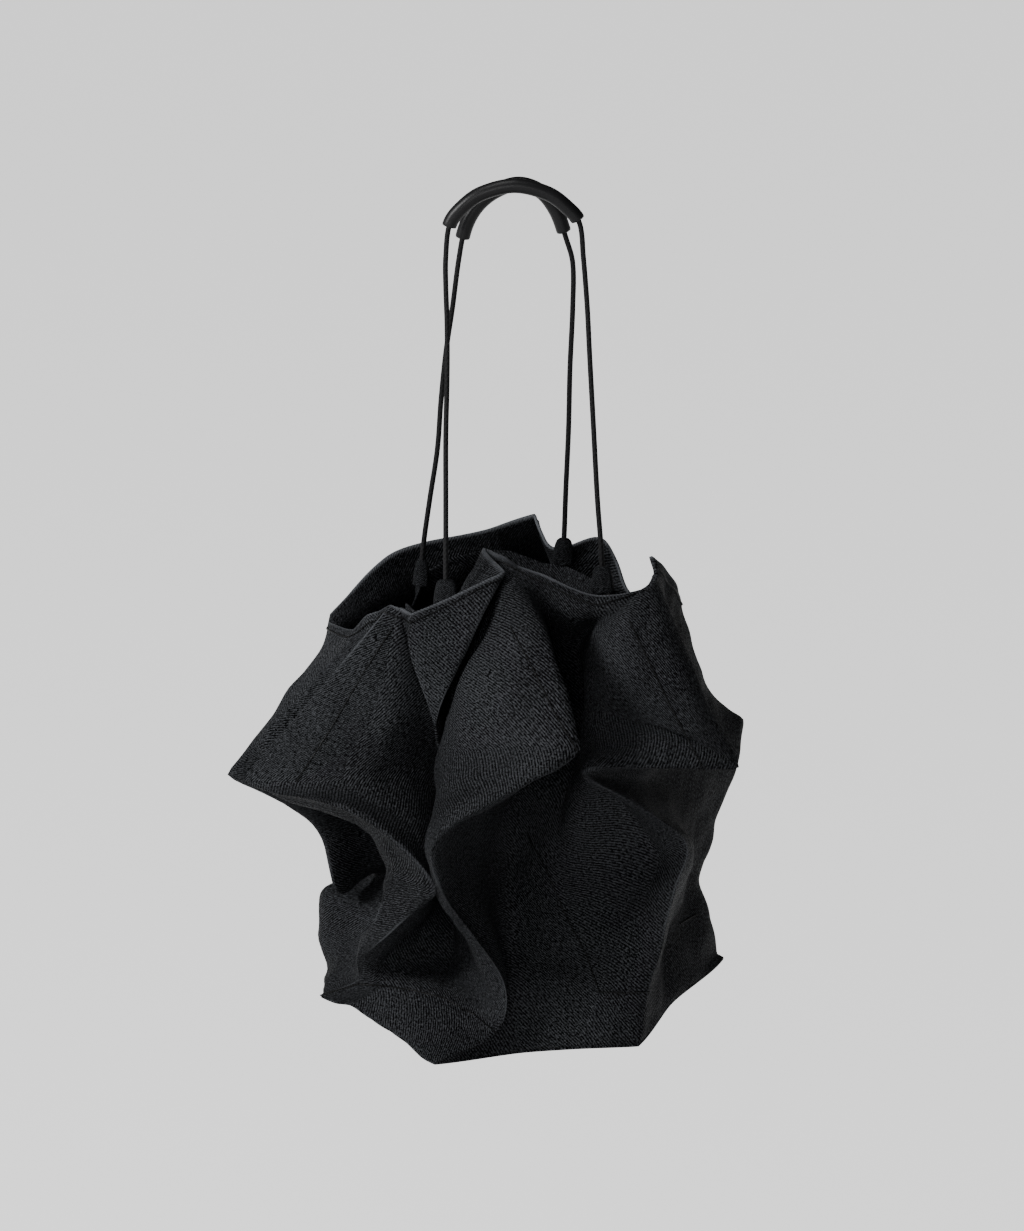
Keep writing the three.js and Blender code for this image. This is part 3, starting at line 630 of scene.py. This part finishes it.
def grid_shell(grid, starts, wall, rim):
    """Points, faces and uvs of a cloth shell: the outer face, an inner face and both hems."""
    rows, columns = grid.shape[:2]
    normals = grid_normals(grid)
    share = np.linspace(0, 1, rows)[:, None, None]
    depth = wall * (0.4 + 0.6 * np.clip((share - 0.6) / 0.3, 0, 1))
    from_rim = run_along(grid[::-1])[::-1]
    hem = np.clip((rim - from_rim) / HEM_SLOPE, 0, 1)[:, :, None] * HEM_RAISE
    points = np.concatenate([(grid + normals * hem).reshape(-1, 3),
                             (grid - normals * (depth + hem)).reshape(-1, 3)])
    across, along = panel_uvs(grid, starts)
    faces, uvs = [], []
    inner = rows * columns
    for row, column, corners in ring_faces(rows, columns):
        low, high = across[row, column], across[row + 1, column]
        v, w = along[row, column], along[row + 1, column]
        ends = ((low[0], v), (low[1], v), (high[1], w), (high[0], w))
        faces += [corners, tuple(inner + corner for corner in turned(corners))]
        uvs += [*ends, *turned(ends)]
    for row, way in ((0, -1), (rows - 1, 1)):
        for column in range(columns):
            a, b = row * columns + column, row * columns + (column + 1) % columns
            v = along[row, column]
            faces.append((a, b, inner + b, inner + a)[::way])
            uvs += square(*across[row, column], v, v + wall)[::way]
    return points, faces, uvs


def route_curve(route, step=CORD_STEP):
    """Points a step apart along the smooth curve through a route in millimetres."""
    places = np.array(route) / 1000
    strides = lengths(np.diff(places, axis=0))[:, 0] ** 0.5
    knots = list(zip(np.concatenate([[0], np.cumsum(strides)]), places))
    parts = 24
    fine = [smooth_through(knots, low[0] + (high[0] - low[0]) * part / parts)
            for low, high in zip(knots, knots[1:]) for part in range(parts)]
    return resampled(np.array(fine + [places[-1]]), step)


def tube_faces(count, run):
    """Faces and uvs of a tube with capped ends, from how far along it each ring is."""
    faces, uvs = [], []
    for ring, step, corners in ring_faces(len(run), count):
        faces.append(corners)
        uvs += square(step / count, (step + 1) / count, run[ring], run[ring + 1])
    for ring, way in ((0, -1), (len(run) - 1, 1)):
        faces.append(tuple(range(ring * count, (ring + 1) * count))[::way])
        uvs += [(step / count, run[ring]) for step in range(count)]
    return faces, uvs


def sweep(line, sections, first_side):
    """Points, faces and uvs of a tube: a ring of (side, side) lengths about each point of a line."""
    side = np.array(first_side, float)
    points = []
    for place, tangent, section in zip(line, unit(np.gradient(line, axis=0)), sections):
        side = unit(side - tangent * (side @ tangent))
        other = np.cross(tangent, side)
        points += [place + side * x + other * y for x, y in section]
    return points, *tube_faces(len(sections[0]), run_along(line))


def circle(radius, count):
    turns = [2 * math.pi * k / count for k in range(count)]
    return [(radius * math.cos(turn), radius * math.sin(turn)) for turn in turns]


def tab_place(name):
    """The middle of a tab's foot and the way that its cord leaves it."""
    line = route_curve(FRONT_CORD if name.startswith("front") else BACK_CORD)
    if name.endswith("right"):
        line = line[::-1]
    along = unit(line[9] - line[0])
    return line[0] - along * TAB_OVERLAP, along


def stitch_tree():
    """Stitches along a curve: a straight bit of thread at each step, with its sizes as inputs."""
    tree = bpy.data.node_groups.get("stitch_row")
    if tree:
        return tree
    tree = bpy.data.node_groups.new("stitch_row", "GeometryNodeTree")
    tree.interface.new_socket(name="Geometry", in_out="OUTPUT", socket_type="NodeSocketGeometry")
    tree.interface.new_socket(name="Geometry", in_out="INPUT", socket_type="NodeSocketGeometry")
    for label in ("Step", "Length", "Radius"):
        tree.interface.new_socket(name=label, in_out="INPUT", socket_type="NodeSocketFloat")
    into, out, spread, thread, turn, place, plain, paint = (tree.nodes.new(kind) for kind in (
        "NodeGroupInput", "NodeGroupOutput", "GeometryNodeCurveToPoints", "GeometryNodeMeshCylinder",
        "FunctionNodeAlignRotationToVector", "GeometryNodeInstanceOnPoints", "GeometryNodeRealizeInstances",
        "GeometryNodeSetMaterial"))
    spread.mode = "LENGTH"
    thread.inputs["Vertices"].default_value = 8
    turn.axis = "Z"
    paint.inputs["Material"].default_value = finish("sewing_thread")
    for source, output, target, label in (
        (into, "Geometry", spread, "Curve"), (into, "Step", spread, "Length"),
        (into, "Length", thread, "Depth"), (into, "Radius", thread, "Radius"),
        (spread, "Tangent", turn, "Vector"), (spread, "Points", place, "Points"),
        (thread, "Mesh", place, "Instance"), (turn, "Rotation", place, "Rotation"),
        (place, "Instances", plain, "Geometry"), (plain, "Geometry", paint, "Geometry"),
        (paint, "Geometry", out, "Geometry"),
    ):
        tree.links.new(source.outputs[output], target.inputs[label])
    return tree


def stitch_row(name, runs):
    """Runs of points become one piece of stitches."""
    sizes = bpy.context.scene.bag_trim
    curve = bpy.data.curves.new(name, "CURVE")
    curve.dimensions = "3D"
    for run in runs:
        spline = curve.splines.new("POLY")
        spline.points.add(len(run) - 1)
        spline.points.foreach_set("co", [v for p in run for v in (*p, 1)])
    guide = placed(name + "_guide", curve)
    nodes = guide.modifiers.new("stitches", "NODES")
    nodes.node_group = stitch_tree()
    values = {"Step": sizes.stitch_step, "Length": sizes.stitch_length, "Radius": sizes.thread_radius}
    for item in nodes.node_group.interface.items_tree:
        if item.in_out == "INPUT" and item.name in values:
            nodes[item.identifier] = values[item.name]
    bpy.context.view_layer.update()
    graph = bpy.context.evaluated_depsgraph_get()
    mesh = bpy.data.meshes.new_from_object(guide.evaluated_get(graph))
    bpy.data.objects.remove(guide)
    settle(placed(name, mesh), ())


def dropped(tree, places):
    """Places in the plane that faces the camera, dropped on the cloth: runs of points on its face."""
    slant = math.radians(bpy.context.scene.bag_view.elevation)
    sight = Vector((0, math.cos(slant), -math.sin(slant)))
    runs, run = [], []
    for x, s, _ in resampled(np.array([(x, s, 0) for x, s in places]), SEAM_STEP):
        start = Vector((x, -1.0, (s + math.sin(slant)) / math.cos(slant))) + HANG
        hit, normal, _, _ = tree.ray_cast(start, sight)
        if hit is None or (run and (hit - run[-1]).length > SEAM_BREAK):
            runs, run = runs + [run], []
        if hit is not None:
            run.append(hit + normal * (SEAM_LIFT if normal.dot(sight) < 0 else -SEAM_LIFT))
    return [part for part in runs + [run] if len(part) >= SEAM_POINTS]


def set_length(name, description, default):
    return FloatProperty(name=name, description=description, default=default, unit="LENGTH")


def set_colour(name, description, default):
    return FloatVectorProperty(name=name, description=description, default=default, subtype="COLOR")


class ClothSizes(bpy.types.PropertyGroup):
    """What shapes the folded cloth."""

    wall: set_length("Wall", "Thickness of the cloth at the rim", 0.0015)
    rim: set_length("Rim hem", "Width of the hem at the rim", 0.009)
    slack: set_length("Slack", "Height of the broad dents in the cloth", 0.0055)
    drag: set_length("Drag", "Height of the waves up the panels", 0.006)


class TrimSizes(bpy.types.PropertyGroup):
    """What shapes the cords, grips and stitches."""

    cord: set_length("Cord", "Diameter of a cord", 0.0042)
    grip: set_length("Grip", "Diameter of a grip", 0.0115)
    grip_length: set_length("Grip length", "Length of a grip along its cord", 0.122)
    stitch_step: set_length("Stitch step", "From one stitch to the next", 0.0031)
    stitch_length: set_length("Stitch length", "Length of thread that shows", 0.0024)
    thread_radius: set_length("Thread", "Radius of the sewing thread", 0.0006)


class Colours(bpy.types.PropertyGroup):
    """Colours of the finishes, and the weave's scale."""

    cloth: set_colour("Cloth", "Base colour of the twill", (0.0062, 0.0065, 0.0071))
    leather: set_colour("Leather", "Base colour of the grips", (0.004, 0.004, 0.0043))
    braid: set_colour("Braid", "Base colour of the cords", (0.004, 0.004, 0.0043))
    thread: set_colour("Thread", "Colour of the sewing thread", (0.0015,) * 3)
    rib: set_length("Twill rib", "From one diagonal rib to the next", 0.0026)


class ViewSizes(bpy.types.PropertyGroup):
    """The camera and the studio."""

    elevation: FloatProperty(
        name="Elevation", description="Height of the camera above level, in degrees", default=18.0)
    distance: set_length("Distance", "From the camera to the bag", 8.0)
    tall: set_length("Height in view", "Height of what the picture shows", 0.9602)
    middle: set_length("Middle", "Height that the camera aims at", -0.344)
    floor: set_colour("Backdrop", "Colour of the floor behind the bag", (0.3,) * 3)
    glow: FloatProperty(
        name="Glow", description="Light that the floor gives off, which evens it out", default=1.15)


class BAG_OT_camera(bpy.types.Operator):
    """Places the camera at the photograph's angle"""

    bl_idname = "bag.camera"
    bl_label = "Camera"

    def execute(self, context):
        view = context.scene.bag_view
        slant = math.radians(view.elevation)
        data = bpy.data.cameras.new("camera")
        data.sensor_width = 36.0
        data.lens = data.sensor_width * view.distance / view.tall
        data.dof.use_dof = False
        camera = placed("camera", data)
        camera.location = (0, -view.distance * math.cos(slant), view.middle + view.distance * math.sin(slant))
        camera.rotation_euler = (math.pi / 2 - slant, 0, 0)
        context.scene.camera = camera
        return {"FINISHED"}


class BAG_OT_cords(bpy.types.Operator):
    """Lays the two braided cords from tab to tab"""

    bl_idname = "bag.cords"
    bl_label = "Cords"

    def execute(self, context):
        ring = circle(context.scene.bag_trim.cord / 2, 14)
        for name, route, _ in CORDS:
            line = route_curve(route)
            points, faces, uvs = sweep(line, [ring] * len(line), (0, 1, 0))
            add_piece(name + "_cord_braid", points, faces, "cord_braid", [name + "_cord"], uvs)
        return {"FINISHED"}


class BAG_OT_body(bpy.types.Operator):
    """Folds the cloth of the bag"""

    bl_idname = "bag.body"
    bl_label = "Cloth body"

    def execute(self, context):
        sizes = context.scene.bag_cloth
        grid, starts = cloth_grid(ROWS, COLUMNS)
        grid = wrinkled(puffed(relaxed(grid, 0.5), starts), sizes)
        grid = relaxed(grid, 0.3)
        points, faces, uvs = grid_shell(grid + np.array(HANG), starts, sizes.wall, sizes.rim)
        # The painted highlight on folded edges and the rim goes on both the outer and the inner face
        add_piece("folded_cloth", points, faces, "twill_cloth", ["bag_body"], uvs,
                  np.tile(edge_highlight(grid), 2))
        return {"FINISHED"}


class BAG_OT_base(bpy.types.Operator):
    """Closes the base under the hem of the body"""

    bl_idname = "bag.base"
    bl_label = "Base"

    def execute(self, context):
        hem = cloth_grid(1, COLUMNS)[0][0]
        shares = (1.0, 0.985, 0.8, 0.6, 0.4, 0.2)
        count, middle = len(hem), len(shares) * len(hem)
        points = []
        for lift in BASE_LEVELS:
            for share in shares:
                points += [tuple(np.array(HANG) + place * share + (0, 0, lift)) for place in hem]
            points.append(tuple(HANG + Vector((0, 0, lift))))
        last = middle - count
        top = [corners for _, _, corners in ring_faces(len(shares), count)]
        top += [(last + k, last + (k + 1) % count, middle) for k in range(count)]
        below = middle + 1
        faces = top + [tuple(below + corner for corner in face[::-1]) for face in top]
        faces += [(k, below + k, below + (k + 1) % count, (k + 1) % count) for k in range(count)]
        uvs = [points[corner][:2] for face in faces for corner in face]
        add_piece("base_cloth", points, faces, "twill_cloth", ["base_panel"], uvs)
        return {"FINISHED"}


class BAG_OT_casing(bpy.types.Operator):
    """Runs the drawstring casing round the inside of the mouth"""

    bl_idname = "bag.casing"
    bl_label = "Drawstring casing"

    def execute(self, context):
        edge = []
        for stop in CASING:
            if isinstance(stop, str):
                foot, along = tab_place(stop)
                dip = TAB_FOOT * math.hypot(along[0], along[1])
                edge.append(foot - np.array((0, 0, dip + CASING_GAP)))
            else:
                edge.append(station_point(stop, "casing") + np.array(HANG))
        edge = resampled(np.array(edge + edge[:1]), CASING_STEP)[:-1]
        count = len(edge)
        along = np.roll(edge, -1, axis=0) - np.roll(edge, 1, axis=0)
        outward = unit(np.stack([along[:, 1], -along[:, 0], np.zeros(count)], axis=1)) * CASING_CLOTH / 2
        pace, depth, thin = 0.9, 1.4, 0.55
        gather = np.array([noise.noise(Vector((k * pace, 2.0, 0))) for k in range(count)])[:, None] * depth
        levels = (0.0, 0.08, 0.5, 0.92, 1.0)
        rings = [(1, level) for level in levels[::-1]] + [(-1, level) for level in levels]
        points, faces, uvs = [], [], []
        for side, level in rings:
            full = thin if level in (0.0, 1.0) else 1.0
            bulge = outward * (side * full + gather * math.sin(math.pi * level))
            points += list(edge + bulge - np.array((0, 0, CASING_WIDTH)) * level)
        for ring, step, corners in ring_faces(len(rings), count, closed=True):
            low, high = rings[ring][1], rings[(ring + 1) % len(rings)][1]
            left = step * CASING_STEP
            faces.append(turned(corners))
            uvs += turned(square(left, left + CASING_STEP, low * CASING_WIDTH, high * CASING_WIDTH))
        add_piece("gathered_casing", points, faces, "twill_cloth", ["drawstring_casing"], uvs)
        return {"FINISHED"}


class BAG_OT_tabs(bpy.types.Operator):
    """Sews the four cloth tabs that the cords come out of"""

    bl_idname = "bag.tabs"
    bl_label = "Cord tabs"

    def execute(self, context):
        folds, relief, squareness = 7, 0.07, 0.8
        for name, half in TAB_HALVES.items():
            foot, along = tab_place(name)
            line = np.array([foot + along * TAB_HEIGHT * share for share, _ in TAB_PROFILE])
            sections = []
            for share, wide in TAB_PROFILE:
                deep = TAB_DEPTH - TAB_TAPER * share
                ring = []
                for x, y in circle(1.0, 28):
                    fold = 1 + relief * math.sin(folds * math.atan2(y, x)) * (1 - share)
                    ring.append((math.copysign(abs(x) ** squareness, x) * half * wide * fold,
                                 math.copysign(abs(y) ** squareness, y) * deep * fold))
                sections.append(ring)
            points, faces, uvs = sweep(line, sections, (1, 0, 0))
            uvs = [(u * half * 7, v * 1.8) for u, v in uvs]
            add_piece(name + "_sleeve", points, faces, "twill_cloth", [name + "_tab"], uvs)
        return {"FINISHED"}


class BAG_OT_grips(bpy.types.Operator):
    bl_idname = "bag.grips"
    bl_label = "Leather grips"

    def execute(self, context):
        sizes = context.scene.bag_trim
        radius = sizes.grip / 2
        bore = sizes.cord / 3
        ends = ((bore, 0.0006), (bore + 0.001, 0.0), (radius - 0.0012, 0.0), (radius - 0.0003, 0.0004),
                (radius, 0.0014))
        for name, route, length in CORDS:
            line = route_curve(route, GRIP_STEP)
            count = round(sizes.grip_length / GRIP_STEP)
            start = (len(line) - count) // 2
            body = resampled(line[start:start + count + 1], GRIP_STEP * 1.5)
            run = run_along(body)
            stops = [(at, r) for r, at in ends] + [(x, radius) for x in run[2:-2]]
            stops += [(run[-1] - at, r) for r, at in ends[::-1]]
            at, radii = zip(*stops)
            track, tangents = points_at(at, run, body), points_at(at, run, np.gradient(body, axis=0))
            points, faces, uvs = self.skin(track, unit(tangents), radii)
            grip = add_piece(name + "_grip_leather", points, faces, "grip_leather",
                             [name + "_grip"], uvs)
            path = route_curve(route)
        return {"FINISHED"}

    def skin(self, track, tangents, radii):
        """A tube with one edge of the leather lapped over the other along its outer side."""
        count = 40
        points = []
        for place, tangent, radius in zip(track, tangents, radii):
            side = unit(np.cross(tangent, (0, 1, 0)))
            other = np.cross(tangent, side)
            for k in range(count):
                angle = 2 * math.pi * k / count
                lap = max(0.0, 1 - ((angle - LAP_EDGE) / LAP_FADE) ** 2) if angle > LAP_EDGE else 0.0
                edge = LAP_RAISE * (1.0 if LAP_START < angle <= LAP_EDGE else lap)
                full = radius + edge * min(1.0, radius / 0.005)
                points.append(place + side * full * math.cos(angle) + other * full * math.sin(angle))
        return points, *tube_faces(count, range(len(track)))


class BAG_OT_stitches(bpy.types.Operator):
    """Sews the rows of topstitching on the cloth"""

    bl_idname = "bag.stitches"
    bl_label = "Stitches"

    def execute(self, context):
        cloth = bpy.data.objects["folded_cloth"].data
        points = [v.co for v in cloth.vertices]
        tree = BVHTree.FromPolygons(points, [tuple(face.vertices) for face in cloth.polygons])
        for name, places in SEAMS.items():
            stitch_row(name + "_stitches", dropped(tree, places))
        self.rim(cloth, context.scene.bag_cloth.rim - RIM_SEAM)
        return {"FINISHED"}

    def rim(self, cloth, depth):
        """One row that holds the rim's hem, on the outer face, at a depth below the rim."""
        rows, columns = cloth_grid(ROWS, COLUMNS)[0].shape[:2]
        outer = np.array([v.co for v in cloth.vertices])[:rows * columns].reshape(rows, columns, 3)
        down, lean = outer[::-1], grid_normals(outer)[::-1]
        run = run_along(down)
        line = []
        for column in range(columns):
            at = float(np.interp(depth, run[:, column], np.arange(rows)))
            low = min(int(at), rows - 2)
            share = at - low
            place = down[low, column] * (1 - share) + down[low + 1, column] * share
            line.append(Vector(place + lean[low, column] * RIM_LIFT))
        stitch_row("rim_stitches", [line + line[:1]])


class BAG_OT_stage(bpy.types.Operator):
    """Sets up the pale floor, the soft lights and the sky"""

    bl_idname = "bag.stage"
    bl_label = "Studio"

    def execute(self, context):
        view = context.scene.bag_view
        mesh = bpy.data.meshes.new("floor")
        sides = (-FLOOR_REACH, FLOOR_REACH)
        mesh.from_pydata([(x, y, FLOOR_LEVEL) for y in sides for x in sides], [], [(0, 1, 3, 2)])
        pale = Finish("pale_floor", tuple(view.floor), 0.9, Emission_Strength=view.glow,
                      Emission_Color=(1, 1, 1, 1))
        mesh.materials.append(pale.material)
        placed("floor", mesh)
        world = bpy.data.worlds.new("studio")
        world.use_nodes = True
        sky = world.node_tree.nodes["Background"].inputs
        sky["Color"].default_value = (1, 1, 1, 1)
        sky["Strength"].default_value = SKY
        context.scene.world = world
        for name, place, aim, side, power in LIGHTS:
            data = bpy.data.lights.new(name, "AREA")
            data.size = side
            data.energy = power
            lamp = placed(name, data)
            lamp.location = place
            lamp.rotation_euler = (Vector(aim) - Vector(place)).to_track_quat("-Z", "Y").to_euler()
        return {"FINISHED"}


ORDER = (BAG_OT_camera, BAG_OT_cords, BAG_OT_grips, BAG_OT_body, BAG_OT_base, BAG_OT_casing, BAG_OT_tabs,
         BAG_OT_stitches, BAG_OT_stage)


class BAG_PT_panel(bpy.types.Panel):
    """Sizes, colours and steps of the bag"""

    bl_label = "Pleated bag"
    bl_idname = "BAG_PT_panel"
    bl_space_type = "VIEW_3D"
    bl_region_type = "UI"
    bl_category = "Bag"

    def draw(self, context):
        for name, group in GROUPS:
            box = self.layout.box()
            for label in group.__annotations__:
                box.prop(getattr(context.scene, name), label)
        for step in ORDER:
            self.layout.operator(step.bl_idname)


GROUPS = (("bag_cloth", ClothSizes), ("bag_trim", TrimSizes), ("bag_colours", Colours),
          ("bag_view", ViewSizes))


def register():
    for name, group in GROUPS:
        bpy.utils.register_class(group)
        setattr(bpy.types.Scene, name, bpy.props.PointerProperty(type=group))
    for step in (*ORDER, BAG_PT_panel):
        bpy.utils.register_class(step)


def unregister():
    for step in reversed((*ORDER, BAG_PT_panel)):
        bpy.utils.unregister_class(step)
    for name, group in reversed(GROUPS):
        delattr(bpy.types.Scene, name)
        bpy.utils.unregister_class(group)


def main():
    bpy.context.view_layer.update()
    register()
    bpy.ops.bag.camera()
    bpy.ops.bag.cords()
    bpy.ops.bag.grips()
    bpy.ops.bag.body()
    bpy.ops.bag.base()
    bpy.ops.bag.casing()
    bpy.ops.bag.tabs()
    bpy.ops.bag.stitches()
    bpy.ops.bag.stage()


if __name__ == "__main__":
    main()
